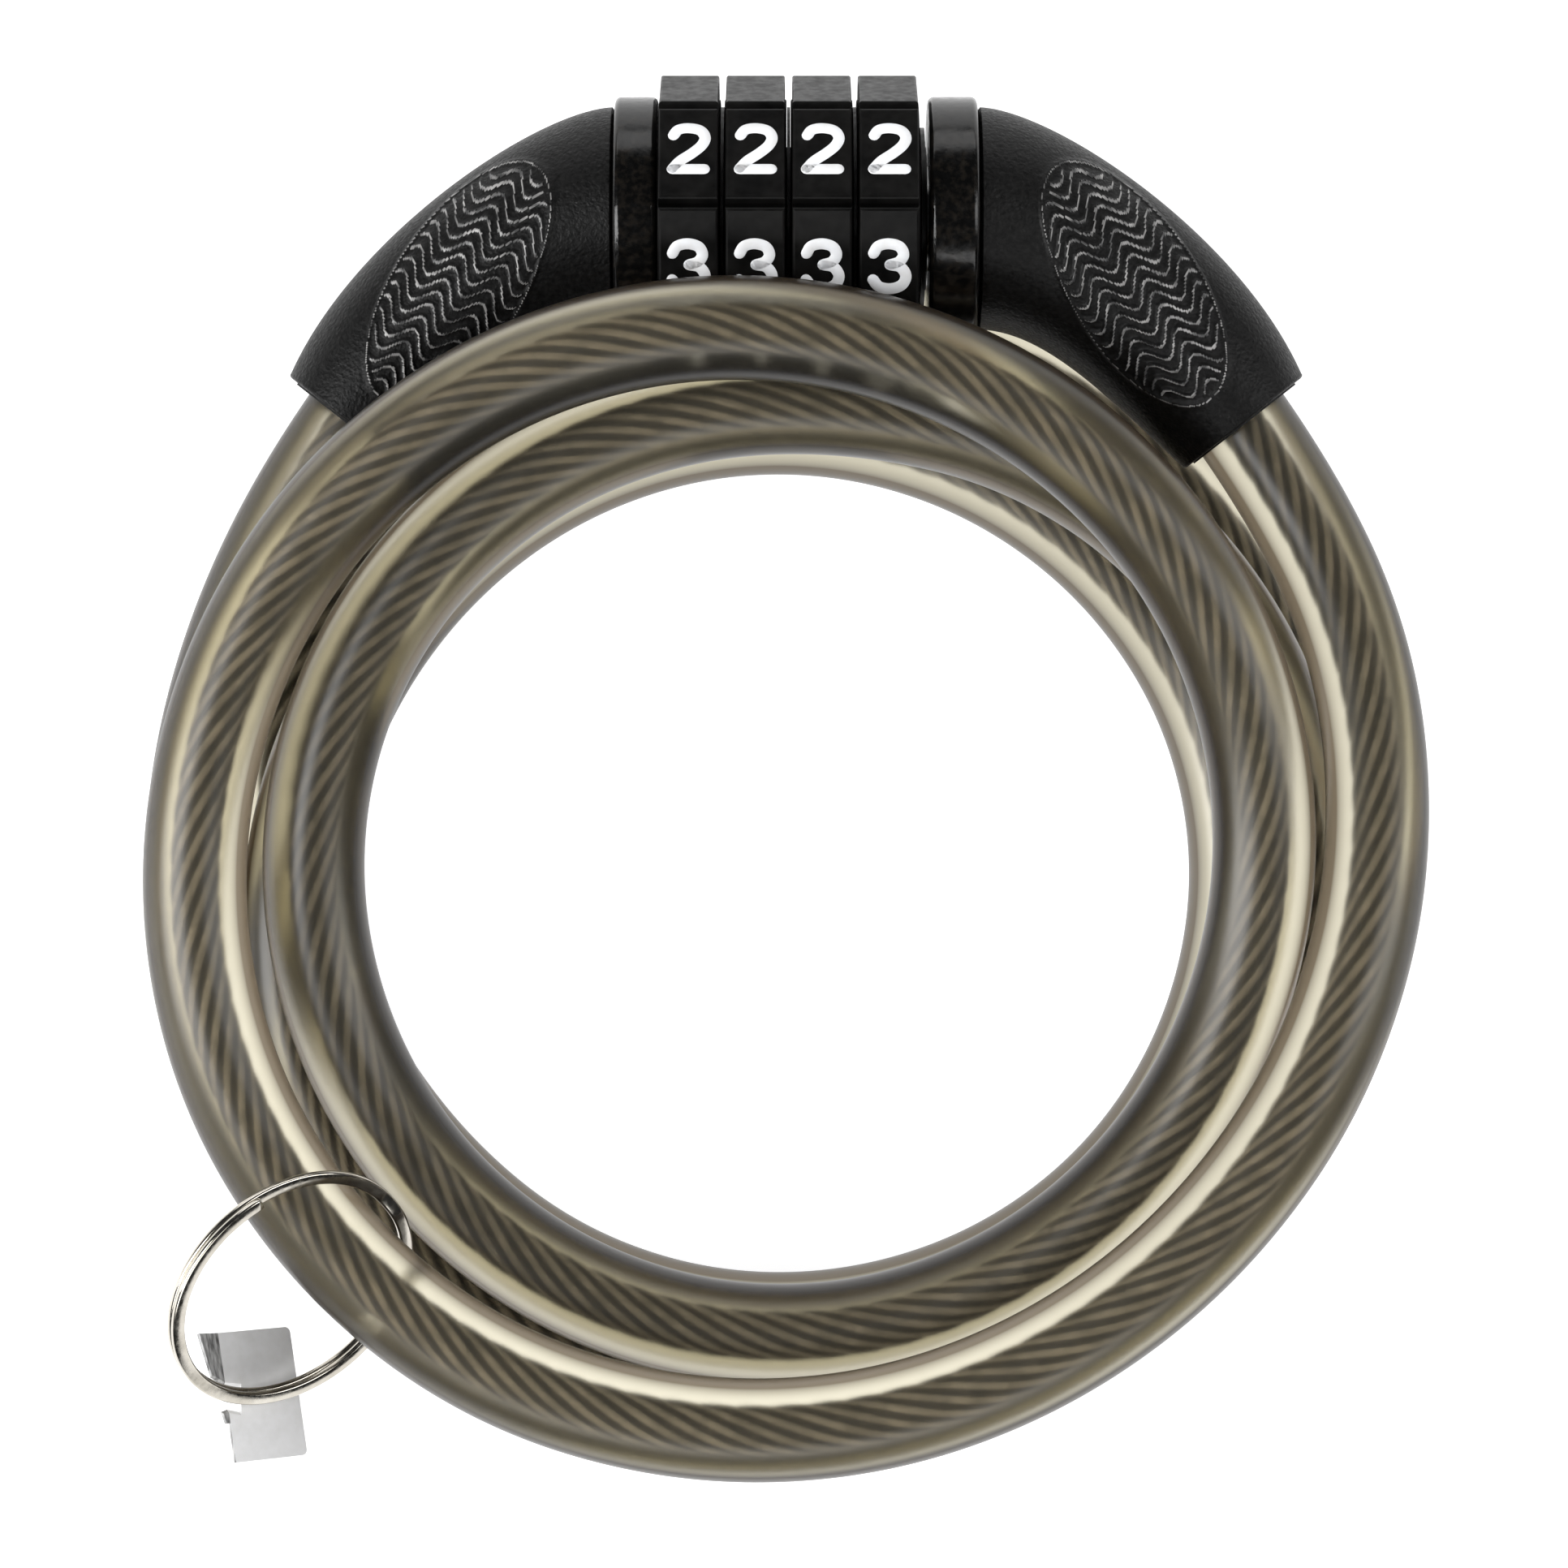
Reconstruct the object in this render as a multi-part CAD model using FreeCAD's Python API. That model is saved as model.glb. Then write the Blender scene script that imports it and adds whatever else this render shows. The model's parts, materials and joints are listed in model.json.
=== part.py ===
import FreeCAD, Part
import math
import os

# Resettable combination cable lock: a self-coiled steel cable in a plastic
# jacket, with both ends held in a four-dial locking head.
# Millimetres. The lock lies flat: the coil's axis is +Z, its lowest turns rest
# on Z = 0, and the origin is on that plane in the middle of the coil.
# The head lies across the +Y side of the coil, with its dial axis along X.

V = FreeCAD.Vector
X_DIR, Z_DIR = V(1, 0, 0), V(0, 0, 1)

# ---------------------------------------------------------------- sizes
CABLE_R = 5.0            # outside radius of the jacket
ROPE_R = 2.1             # radius of the steel rope inside it
COIL_STEP = 20           # degrees between two points of the cable's route
COIL_FIRST, COIL_LAST = 70, 1730
CORNER_REACH = 1.0147    # a rounded corner passes this much inside its point
ARC_SHARE = 0.45         # share of the shorter run that each arc takes up

HEAD_X, HEAD_Y, HEAD_Z = 1.9, 64.4, 22.6   # middle of the head, on the dial axis

DIAL_COUNT = 4
DIAL_PITCH = 6.45
DIAL_MIDDLE = -0.75      # middle of the row of dials, from the head's middle
DIAL_WIDTH = 6.05
DIAL_FACES = 8
DIAL_CORNER_R = 14.1     # outer corners of the number blocks
DIAL_DRUM_R = 11.7
BLOCK_LENGTH = 5.75      # along the dial axis
BLOCK_WIDTH = 9.9        # around the dial
BLOCK_EDGE = 0.3         # rounding of the blocks' outer edges

TUBE_R = 7.0             # lock cylinder, outside
TUBE_BORE_R = 5.2
TUBE_END = 12.75
SLOT_WIDTH = 2.4
CODE_RING_R = 9.0
CODE_RING_LENGTH = 5.8
RUNNING = 0.05           # radial clearance of a turning fit
WASHER_THICKNESS = 0.3

PIN_R = 5.12
PIN_START = -12.6        # inner end of the locking pin
PIN_TAIL = 25.5
TAIL_START, TAIL_R = 18.4, 3.6   # thinner tail of each shaft, in its anchor block
LUG_LENGTH, LUG_WIDTH, LUG_R = 1.6, 2.1, 8.1
LUG_OFFSET = -1.2        # a lug stands this far from its dial's middle

COLLAR_R = 11.9
COLLAR_LENGTH = 4.2
RESET_COLLAR_START = -17.75
PLUG_COLLAR_START = 12.9
COLLAR_EDGE = 0.6

# Grip sleeve: its outer and inner edges, seen from above, and its half height,
# each as one smooth curve from the collar to the mouth, steered by four values.
SLEEVE_START = 17.8
SLEEVE_SECTIONS = 9
SLEEVE_OUTER_X, SLEEVE_OUTER_Y = (17.8, 24.9, 43.5, 49.73), (10.9, 10.9, -1.3, -15.29)
SLEEVE_INNER_X, SLEEVE_INNER_Y = (17.8, 24.4, 30.6, 38.07), (-10.9, -10.9, -17.5, -24.41)
SLEEVE_HEIGHTS = (10.8, 9.9, 8.8, 7.3)
EXIT_X, EXIT_Y, EXIT_TURN = 43.9, -19.85, 52
CABLE_IN = 8.0           # depth of the jacket inside the sleeve
CABLE_OUT = 6.0          # straight length outside it
BEND_X, BEND_Y = 27.6, -1.6
ANCHOR_R, ANCHOR_HALF = 5.5, 4.8
FERRULE_R = 4.2
CAVITY_GAP = 0.25

# Split ring: two turns of flat wire, tilted where it goes round the cable.
RING_AT = 229.5          # place on the coil, degrees from +Y towards +X
RING_R = 12.45           # middle of the wire
RING_WIRE = 1.3          # across the wire
RING_TURN = 0.68         # thickness of one turn
RING_OFFSET = 5.7        # ring centre, outward from the cable's middle
RING_RISE = 0.6          # and up from it
RING_LEAN = 46.5         # slope of the ring's plane
RING_HEADING = 48.0      # heading of the level line in the ring's plane
RING_END = 65.0          # free end of the upper turn, degrees round the ring
RING_STEP_AT, RING_STEP = 340.0, 18.0   # where the wire steps down to the lower turn
RING_LOWER = 328.0       # degrees covered by the lower turn

TAG_AT = 200.0           # place of the tag on the ring, degrees
TAG_LENGTH, TAG_WIDTH, TAG_THICKNESS = 12.7, 8.9, 0.3
TAG_FLAP_WIDTH, TAG_FLAP_TIP, TAG_FLAP_LEAN = 3.3, 0.7, 72
TAG_FLAP_REACH = 2.5     # the flap ends this far past the hole's middle
TAG_HOLE_R = 2.1
TAG_DROP = 1.5           # the panel lies this far under the wire
TAG_SLOPE, TAG_PITCH = 44, 13.0

# The cable's way round the coil: degrees from +Y towards +X, counted on from
# the plug's sleeve to the fixed sleeve, then radius and height of its middle.
STATIONS = [
    (46, 63.3, 22.6), (60, 61.7, 24.6), (75, 60.1, 27.9), (90, 57.9, 31.4),
    (105, 56.1, 34.1), (120, 54.4, 35.2), (150, 53.1, 34.8), (180, 53.5, 33.8),
    (200, 54.6, 33.3), (225, 55.7, 33.1), (255, 56.4, 33.2), (270, 56.2, 33.5),
    (315, 55.0, 35.8), (345, 53.3, 37.8), (360, 52.2, 38.0), (390, 50.4, 36.8),
    (420, 48.8, 33.6), (450, 47.2, 30.5), (480, 46.0, 28.2), (510, 45.5, 26.1),
    (540, 45.4, 24.6), (570, 45.2, 24.0), (600, 45.2, 24.2), (630, 45.4, 25.7),
    (660, 45.6, 27.0), (700, 45.6, 28.9), (720, 45.6, 28.8), (750, 48.2, 25.7),
    (780, 51.0, 21.8), (810, 52.3, 18.2), (840, 52.8, 15.9), (900, 52.8, 15.0),
    (960, 51.0, 15.4), (990, 48.1, 15.4), (1010, 46.5, 13.6), (1035, 45.5, 9.6),
    (1060, 45.2, 6.0), (1080, 45.2, 5.0), (1110, 45.5, 5.0), (1170, 47.0, 5.0),
    (1200, 46.9, 5.0), (1260, 46.0, 5.0), (1314, 46.2, 5.0), (1335, 48.0, 5.0),
    (1350, 50.0, 5.0), (1380, 53.7, 5.0), (1410, 55.6, 5.0), (1440, 56.0, 5.0),
    (1490, 56.7, 5.0), (1530, 57.4, 5.0), (1620, 56.4, 5.0), (1650, 57.1, 5.0),
    (1680, 58.5, 6.2), (1695, 58.6, 9.2), (1710, 58.3, 13.4), (1730, 58.0, 18.6),
    (1745, 58.9, 21.6), (1757, 60.4, 22.6),
]
# Each stretch of the cable is its own solid, cut at these turns of the coil.
CABLE_CUTS = [("cable_lead", None, 180), ("cable_coil_1", 180, 540),
              ("cable_coil_2", 540, 900), ("cable_coil_3", 900, 1260),
              ("cable_coil_4", 1260, None)]
LEAD_GAP = 0.1           # between the lead and the coil, which move apart


# ---------------------------------------------------------------- helpers
def save(shape, node):
    """Write one node, and say how large it is."""
    shape = shape.removeSplitter() if len(shape.Solids) == 1 else shape
    print(f"{node}: {len(shape.Solids)} solid, {shape.Volume:.0f} mm3, valid {shape.isValid()}")
    shape.exportStep(f"parts/{node}.step")


def rod(radius, start, end):
    """A round bar on the dial axis, between two places along the head."""
    return Part.makeCylinder(radius, end - start, V(start, 0, 0), X_DIR)


def ring(outer, inner, start, end):
    return rod(outer, start, end).cut(rod(inner, start - 1, end + 1))


def bar(start, end, y_low, y_high, z_low, z_high):
    return Part.makeBox(end - start, y_high - y_low, z_high - z_low, V(start, y_low, z_low))


def fuse(shapes):
    return shapes[0].multiFuse(shapes[1:]) if len(shapes) > 1 else shapes[0]


def turned(shape, degrees):
    """Turn a shape about the dial axis."""
    copy = shape.copy()
    copy.rotate(V(0, 0, 0), X_DIR, degrees)
    return copy


def in_head(shape):
    """Move a shape from the head's own frame to its place on the coil."""
    copy = shape.copy()
    copy.translate(V(HEAD_X, HEAD_Y, HEAD_Z))
    return copy


def mirrored(shape):
    return shape.mirror(V(0, 0, 0), X_DIR)


def rounded_ends(shape, radius, edge):
    """Round the two outer rims of a collar."""
    rims = [e for e in shape.Edges
            if e.Curve.TypeId == "Part::GeomCircle" and abs(e.Curve.Radius - radius) < 0.01]
    return shape.makeFillet(edge, rims)


# ---------------------------------------------------------------- the dials
def dial_middle(index):
    return DIAL_MIDDLE + (index - (DIAL_COUNT - 1) / 2) * DIAL_PITCH


def number_block(middle):
    """One flat number face, facing +Z, with its outer edges rounded."""
    top = math.sqrt(DIAL_CORNER_R ** 2 - (BLOCK_WIDTH / 2) ** 2)
    block = bar(middle - BLOCK_LENGTH / 2, middle + BLOCK_LENGTH / 2,
                -BLOCK_WIDTH / 2, BLOCK_WIDTH / 2, CODE_RING_R + 1.2, top)
    upper = [e for e in block.Edges if e.BoundBox.ZMin > CODE_RING_R + 1.3]
    return block.makeFillet(BLOCK_EDGE, upper)


def dial(index):
    """A number ring: a drum with eight raised faces, and two keyways inside."""
    middle = dial_middle(index)
    start, end = middle - DIAL_WIDTH / 2, middle + DIAL_WIDTH / 2
    drum = rounded_ends(rod(DIAL_DRUM_R, start, end), DIAL_DRUM_R, 0.25)
    step = 360 / DIAL_FACES
    blocks = [turned(number_block(middle), (face + 0.5) * step) for face in range(DIAL_FACES)]
    drum = fuse([drum] + blocks).cut(rod(CODE_RING_R + RUNNING, start - 1, end + 1))
    for side in (90, 270):
        keyway = bar(start - 1, end + 1, -1.35, 1.35, CODE_RING_R - 1, CODE_RING_R + 0.95)
        drum = drum.cut(turned(keyway, side))
    return drum


def code_ring(index):
    """The inner ring that reads the code: a gate for the lug, a race in which
    the locked lug runs, eight detent notches and two keys for the dial."""
    middle = dial_middle(index)
    start, end = middle - CODE_RING_LENGTH / 2, middle + CODE_RING_LENGTH / 2
    body = rod(CODE_RING_R, start, end)
    for side in (90, 270):
        key = bar(start, end, -1.25, 1.25, CODE_RING_R - 1, CODE_RING_R + 0.85)
        body = body.fuse(turned(key, side))
    body = body.cut(rod(TUBE_R + RUNNING, start - 1, end + 1))
    lug = middle + LUG_OFFSET
    race = rod(LUG_R + 0.25, lug - LUG_LENGTH / 2 - 0.4, lug + LUG_LENGTH / 2 + 0.4)
    gate = bar(start - 1, end + 1, -LUG_WIDTH / 2 - 0.2, LUG_WIDTH / 2 + 0.2, -LUG_R - 0.25, 0)
    body = body.cut(race).cut(gate)
    for face in range(DIAL_FACES):
        notch = Part.makeCylinder(0.6, 1.5, V(middle + 1.2, 0, TUBE_R), X_DIR)
        body = body.cut(turned(notch, face * 360 / DIAL_FACES))
    return body


def dial_washers():
    """Three thin washers that keep the turning dials apart. They stand still,
    and the pin's lugs pass through their notches."""
    washers = []
    for index in range(DIAL_COUNT - 1):
        middle = (dial_middle(index) + dial_middle(index + 1)) / 2
        half = WASHER_THICKNESS / 2
        washer = ring(10.9, TUBE_R + RUNNING, middle - half, middle + half)
        gate = bar(middle - 1, middle + 1, -LUG_WIDTH / 2 - 0.2, LUG_WIDTH / 2 + 0.2, -LUG_R - 0.25, 0)
        washers.append(washer.cut(gate))
    return Part.Compound(washers)


# ---------------------------------------------------------------- the lock's core
def lock_cylinder():
    """The fixed tube that carries the dials, slotted for the pin's lugs."""
    body = fuse([rod(TUBE_R, -20.0, TUBE_END), rod(TAIL_R, -PIN_TAIL, -19.9)])
    body = body.cut(rod(TUBE_BORE_R, PIN_START - 0.6, TUBE_END + 1))
    slot = bar(PIN_START - 0.6, TUBE_END + 1, -SLOT_WIDTH / 2, SLOT_WIDTH / 2, -TUBE_R - 1, 0)
    spring_seat = bar(PIN_START - 0.6, dial_middle(3) + 3.2, -1.5, 1.5, TUBE_R - 0.95, TUBE_R + 1)
    clip_groove = ring(TUBE_R + 1, TUBE_R - 0.4, 12.12, 12.58)
    return body.cut(slot).cut(spring_seat).cut(clip_groove)


def detent_spring():
    """A leaf on top of the cylinder with one click bump for each dial, drawn
    pressed down level with the code rings' bore."""
    leaf = bar(PIN_START - 0.5, dial_middle(3) + 3.1, -1.4, 1.4, TUBE_R - 0.93, TUBE_R - 0.55)
    bumps = []
    for index in range(DIAL_COUNT):
        start = dial_middle(index) + 1.4
        bumps.append(Part.makeCylinder(0.45, 1.1, V(start, 0, TUBE_R - 0.47), X_DIR))
    return fuse([leaf] + bumps)


def retaining_ring():
    """The open snap ring that holds the dials on the cylinder."""
    clip = ring(8.9, TUBE_R - 0.38, 12.15, 12.55)
    return clip.cut(bar(11, 14, -3.2, 3.2, -10, 0))


def reset_collar():
    """The collar that is turned a quarter to set a new code."""
    start, end = RESET_COLLAR_START, RESET_COLLAR_START + COLLAR_LENGTH
    collar = rounded_ends(rod(COLLAR_R, start, end), COLLAR_R, COLLAR_EDGE)
    collar = collar.cut(rod(TUBE_R + RUNNING, start - 1, end + 1))
    return collar.cut(rod(9.3, end - 2.5, end + 1))


def reset_spring():
    """The wire spring in the reset collar that pushes the code rings home."""
    helix = Part.makeHelix(0.85, 1.7, 8.2)
    profile = Part.Wire(Part.Circle(V(8.2, 0, 0), V(0, 1, 0), 0.3).toShape())
    spring = Part.Wire(helix).makePipeShell([profile], True, True)
    spring.rotate(V(0, 0, 0), V(0, 1, 0), 90)
    spring.translate(V(RESET_COLLAR_START + COLLAR_LENGTH - 2.1, 0, 0))
    return spring


def plug_pin():
    """The locking pin: four lugs that pass the gates when the code is right."""
    pin = rod(PIN_R, PIN_START, TAIL_START)
    nose = [e for e in pin.Edges if e.BoundBox.XMax < PIN_START + 0.1]
    pin = pin.makeChamfer(0.8, nose).fuse(rod(TAIL_R, TAIL_START - 0.1, PIN_TAIL))
    for index in range(DIAL_COUNT):
        lug = dial_middle(index) + LUG_OFFSET
        pin = pin.fuse(bar(lug - LUG_LENGTH / 2, lug + LUG_LENGTH / 2,
                           -LUG_WIDTH / 2, LUG_WIDTH / 2, -LUG_R, -PIN_R + 2))
    return pin.cut(cross_pin(RUNNING / 5))


def plug_collar():
    start, end = PLUG_COLLAR_START, PLUG_COLLAR_START + COLLAR_LENGTH + 0.6
    collar = rounded_ends(rod(COLLAR_R, start, end), COLLAR_R, COLLAR_EDGE)
    return collar.cut(rod(PIN_R + 0.03, start - 1, end + 1))


# ---------------------------------------------------------------- the cable's ends
def along_exit(radius, start, end):
    """A round bar on the cable's line where it leaves the right-hand sleeve,
    between two distances from the sleeve's mouth, outward."""
    turn = math.radians(EXIT_TURN)
    way = V(math.cos(turn), -math.sin(turn), 0)
    return Part.makeCylinder(radius, end - start, V(EXIT_X, EXIT_Y, 0) + way * start, way)


def cross_pin(extra=0.0):
    """The pin that locks a shaft's tail in its anchor block."""
    half = ANCHOR_HALF + extra
    return Part.makeCylinder(1.25 + extra, 2 * half, V(BEND_X - 4.2, 0, -half), Z_DIR)


def anchor():
    """The block at the sleeve's bend that joins the shaft to the cable."""
    block = Part.makeCylinder(ANCHOR_R, 2 * ANCHOR_HALF, V(BEND_X, BEND_Y, -ANCHOR_HALF), Z_DIR)
    block = block.fuse(bar(BEND_X - 7, BEND_X, -5.2, 4.4, -ANCHOR_HALF, ANCHOR_HALF))
    block = block.cut(rod(TAIL_R + 0.03, BEND_X - 8, PIN_TAIL + 0.05))
    block = block.cut(along_exit(FERRULE_R + 0.03, -21.95, 0))
    return block.cut(cross_pin(0.01))


def ferrule():
    """The crimped sleeve that grips the bare steel rope."""
    return along_exit(FERRULE_R, -21.9, -CABLE_IN - 0.4).cut(along_exit(ROPE_R + 0.02, -20.5, 0))


def rope_end():
    return along_exit(ROPE_R, -20.4, -CABLE_IN)


def grommet():
    """The soft ring in the sleeve's mouth."""
    body = along_exit(6.3, -2.5, 0.5)
    return body.cut(along_exit(CABLE_R + RUNNING, -4, 1))


def smooth(values, share):
    """A point on the cubic curve steered by four values."""
    a, b, c, d = values
    rest = 1 - share
    return a * rest ** 3 + 3 * b * rest ** 2 * share + 3 * c * rest * share ** 2 + d * share ** 3


def sleeve_section(share):
    """The sleeve's oval section at a share of its length."""
    outer = V(smooth(SLEEVE_OUTER_X, share), smooth(SLEEVE_OUTER_Y, share), 0)
    inner = V(smooth(SLEEVE_INNER_X, share), smooth(SLEEVE_INNER_Y, share), 0)
    middle = (outer + inner) * 0.5
    oval = Part.Ellipse(outer, middle + Z_DIR * smooth(SLEEVE_HEIGHTS, share), middle)
    return Part.Wire(oval.toShape())


def sleeve():
    """The moulded grip: a curved oval horn, hollow for the anchor and cable."""
    shares = [i / (SLEEVE_SECTIONS - 1) for i in range(SLEEVE_SECTIONS)]
    body = Part.makeLoft([sleeve_section(share) for share in shares], True, False)
    gap = CAVITY_GAP
    hollow = [
        rod(TUBE_R + gap, SLEEVE_START - 1, BEND_X - 7),
        Part.makeCylinder(ANCHOR_R + gap, 2 * ANCHOR_HALF + 2 * gap,
                          V(BEND_X, BEND_Y, -ANCHOR_HALF - gap), Z_DIR),
        bar(BEND_X - 7 - gap, BEND_X, -5.2 - gap, 4.4 + gap, -ANCHOR_HALF - gap, ANCHOR_HALF + gap),
        along_exit(CABLE_R + RUNNING, -CABLE_IN - 0.1, 1),
        along_exit(FERRULE_R + gap, -23.0, -CABLE_IN),
        along_exit(6.33, -2.55, 1),
    ]
    for space in hollow:
        body = body.cut(space)
    return body


# ---------------------------------------------------------------- the cable
def slope(index, column):
    """Slope of radius or height at a station, level at a high or low point."""
    if index in (0, len(STATIONS) - 1):
        return 0.0
    before, here, after = STATIONS[index - 1:index + 2]
    first = (here[column] - before[column]) / (here[0] - before[0])
    second = (after[column] - here[column]) / (after[0] - here[0])
    return 0.0 if first * second <= 0 else 2 * first * second / (first + second)


def on_route(turn, column):
    """Radius (column 1) or height (column 2) of the cable at a turn angle."""
    index = max(i for i in range(len(STATIONS) - 1) if STATIONS[i][0] <= turn)
    low, high = STATIONS[index], STATIONS[index + 1]
    span = high[0] - low[0]
    t = (turn - low[0]) / span
    return ((2 * t ** 3 - 3 * t ** 2 + 1) * low[column] + (3 * t ** 2 - 2 * t ** 3) * high[column]
            + (t ** 3 - 2 * t ** 2 + t) * slope(index, column) * span
            + (t ** 3 - t ** 2) * slope(index + 1, column) * span)


def exit_point(side, distance):
    """A point on the cable's straight end; side is 1 at the plug, -1 at the other."""
    turn = math.radians(EXIT_TURN)
    x = EXIT_X + math.cos(turn) * distance
    y = EXIT_Y - math.sin(turn) * distance
    return V(HEAD_X + side * x, HEAD_Y + y, HEAD_Z)


def route_points():
    points = [exit_point(1, -CABLE_IN), exit_point(1, CABLE_OUT)]
    for turn in range(COIL_FIRST, COIL_LAST + 1, COIL_STEP):
        radius = on_route(turn, 1) * CORNER_REACH
        angle = math.radians(turn)
        points.append(V(radius * math.sin(angle), radius * math.cos(angle), on_route(turn, 2)))
    return points + [exit_point(-1, CABLE_OUT), exit_point(-1, -CABLE_IN)]


def run_index(turn):
    """The run of the route whose middle lies at this turn of the coil."""
    return 2 + (turn - COIL_FIRST) // COIL_STEP


def cable_path(points, first_run, last_run, gap=0.0):
    """Straight runs joined by tangent arcs, from the middle of one run to the
    middle of another, or to the route's end where a run is not given."""
    start = points[0] if first_run is None else (points[first_run] + points[first_run + 1]) * 0.5
    end = points[-1] if last_run is None else (points[last_run] + points[last_run + 1]) * 0.5
    if gap:
        end = end - (points[last_run + 1] - points[last_run]).normalize() * gap
    first_corner = 1 if first_run is None else first_run + 1
    last_corner = len(points) - 2 if last_run is None else last_run
    edges, at, radii = [], start, []
    for i in range(first_corner, last_corner + 1):
        before, corner, after = points[i - 1], points[i], points[i + 1]
        back, ahead = before - corner, after - corner
        reach = ARC_SHARE * min(back.Length, ahead.Length)
        turn = math.pi - back.getAngle(ahead)
        radius = reach / math.tan(turn / 2)
        radii.append(radius)
        back.normalize()
        ahead.normalize()
        inward = (back + ahead).normalize()
        centre = corner + inward * (radius / math.cos(turn / 2))
        begin, finish = corner + back * reach, corner + ahead * reach
        edges.append(Part.LineSegment(at, begin).toShape())
        edges.append(Part.Arc(begin, centre - inward * radius, finish).toShape())
        at = finish
    edges.append(Part.LineSegment(at, end).toShape())
    return Part.Wire(edges), radii


def cable_stretch(points, first_run, last_run, gap):
    path, radii = cable_path(points, first_run, last_run, gap)
    start = path.Edges[0].Vertexes[0].Point
    way = (path.Edges[0].Vertexes[1].Point - start).normalize()
    profile = Part.Face(Part.Wire(Part.Circle(start, way, CABLE_R).toShape()))
    solid = path.makePipe(profile)
    ideal = math.pi * CABLE_R ** 2 * path.Length
    print(f"  length {path.Length:.1f}, radii {min(radii):.0f} to {max(radii):.0f},"
          f" volume ratio {solid.Volume / ideal:.4f}")
    return solid, path.Length


def make_cable():
    points, total = route_points(), 0.0
    for node, first, last in CABLE_CUTS:
        first_run = None if first is None else run_index(first)
        last_run = None if last is None else run_index(last)
        gap = LEAD_GAP if node == "cable_lead" else 0.0
        solid, length = cable_stretch(points, first_run, last_run, gap)
        total += length
        save(solid, node)
    print(f"cable length {total:.0f}")


# ---------------------------------------------------------------- ring and tag
def to_ring(shape):
    """Place a shape from the split ring's own frame, where the ring lies in XY."""
    copy = shape.copy()
    copy.rotate(V(0, 0, 0), X_DIR, RING_LEAN)
    copy.rotate(V(0, 0, 0), Z_DIR, RING_HEADING)
    angle = math.radians(RING_AT)
    radius = on_route(RING_AT, 1) + RING_OFFSET
    height = on_route(RING_AT, 2) + RING_RISE
    copy.translate(V(radius * math.sin(angle), radius * math.cos(angle), height))
    return copy


def wire_turn(z_low, start, sweep):
    """Part of one turn of the ring's flat wire."""
    box = Part.makeBox(RING_WIRE, 0.001, RING_TURN, V(RING_R - RING_WIRE / 2, 0, z_low))
    face = [f for f in box.Faces if abs(f.normalAt(0, 0).y + 1) < 0.01][0].copy()
    face.rotate(V(0, 0, 0), Z_DIR, start)
    return face.revolve(V(0, 0, 0), Z_DIR, sweep)


def split_ring():
    """Two turns of flat wire, joined where the wire steps from one to the other."""
    high, low = 0.02, -RING_TURN - 0.02
    upper = wire_turn(high, RING_END, RING_STEP_AT - RING_END)
    lower = wire_turn(low, RING_STEP_AT + RING_STEP, RING_LOWER)
    step = []
    for turn, z_low in ((RING_STEP_AT, high), (RING_STEP_AT + RING_STEP, low)):
        corners = []
        for across, up in ((-0.5, 0), (0.5, 0), (0.5, 1), (-0.5, 1), (-0.5, 0)):
            r, a = RING_R + across * RING_WIRE, math.radians(turn)
            corners.append(V(r * math.cos(a), r * math.sin(a), z_low + up * RING_TURN))
        step.append(Part.makePolygon(corners))
    return fuse([upper, Part.makeLoft(step, True, True), lower])


def wire_place(degrees):
    """The middle of the ring's wire at an angle, and the wire's way there."""
    angle = math.radians(degrees)
    start = V(RING_R * math.cos(angle), RING_R * math.sin(angle), 0)
    line = to_ring(Part.makeLine(start, start + V(-math.sin(angle), math.cos(angle), 0)))
    return line.Vertexes[0].Point, line.Vertexes[1].Point - line.Vertexes[0].Point


def tag():
    """A small blank label, folded where the ring's wire passes through it."""
    half, under = TAG_LENGTH / 2, -TAG_DROP - TAG_THICKNESS
    panel = Part.makeBox(TAG_WIDTH, TAG_LENGTH, TAG_THICKNESS, V(0, -half, under))
    far = [e for e in panel.Edges if e.Length < 2 * TAG_THICKNESS and e.BoundBox.XMin > 1]
    panel = panel.makeFillet(0.6, far)
    corners = [V(0, half, 0), V(0, half, TAG_FLAP_WIDTH), V(0, -TAG_FLAP_REACH, TAG_FLAP_TIP),
               V(0, -TAG_FLAP_REACH, 0), V(0, half, 0)]
    flap = Part.Face(Part.makePolygon(corners)).extrude(V(TAG_THICKNESS, 0, 0))
    flap.rotate(V(0, 0, 0), V(0, 1, 0), -TAG_FLAP_LEAN)
    flap.translate(V(0, 0, under))
    label = panel.fuse(flap)
    label.rotate(V(0, 0, 0), X_DIR, -TAG_PITCH)
    label.rotate(V(0, 0, 0), V(0, 1, 0), TAG_SLOPE)
    place, way = wire_place(TAG_AT)
    label.translate(place)
    return label.cut(Part.makeCylinder(TAG_HOLE_R, 5.4, place - way * 3.6, way))


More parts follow.
